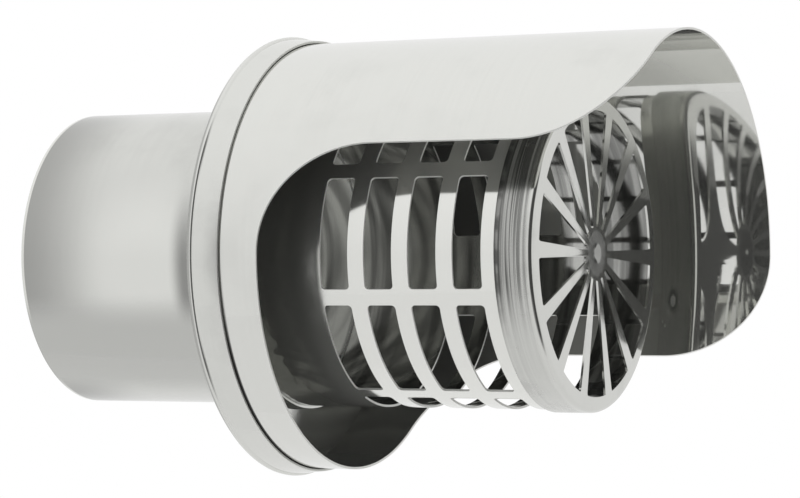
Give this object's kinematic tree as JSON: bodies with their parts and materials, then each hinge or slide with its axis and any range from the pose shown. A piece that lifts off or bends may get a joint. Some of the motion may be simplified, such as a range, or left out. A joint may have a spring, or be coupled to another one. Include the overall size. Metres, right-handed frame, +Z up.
{
  "type": "horizontal flue terminal",
  "caption": "Stainless horizontal flue terminal: plain inlet spigot, beaded base cap, slotted outlet cage with a spoked end grille, under a half-shell hood that opens downwards.",
  "frame": {"origin": "centre of the inlet spigot's rim", "axes": "+X along the flue axis towards the outlet grille, +Z up through the crown of the hood, the hood's opening faces -Z"},
  "size_m": [0.178, 0.119, 0.119],
  "materials": {
    "tube_steel": "bright rolled stainless sheet, lightly smudged",
    "cap_steel": "bright drawn stainless sheet, fine turning marks",
    "hood_steel": "bright rolled stainless sheet, near mirror inside",
    "grille_steel": "bright drawn stainless sheet, fine turning marks on the band"
  },
  "bodies": {
    "root": {"inner_tube": "tube_steel", "base_cap": "cap_steel", "hood": "hood_steel", "end_grille": "grille_steel"}
  },
  "joints": []
}
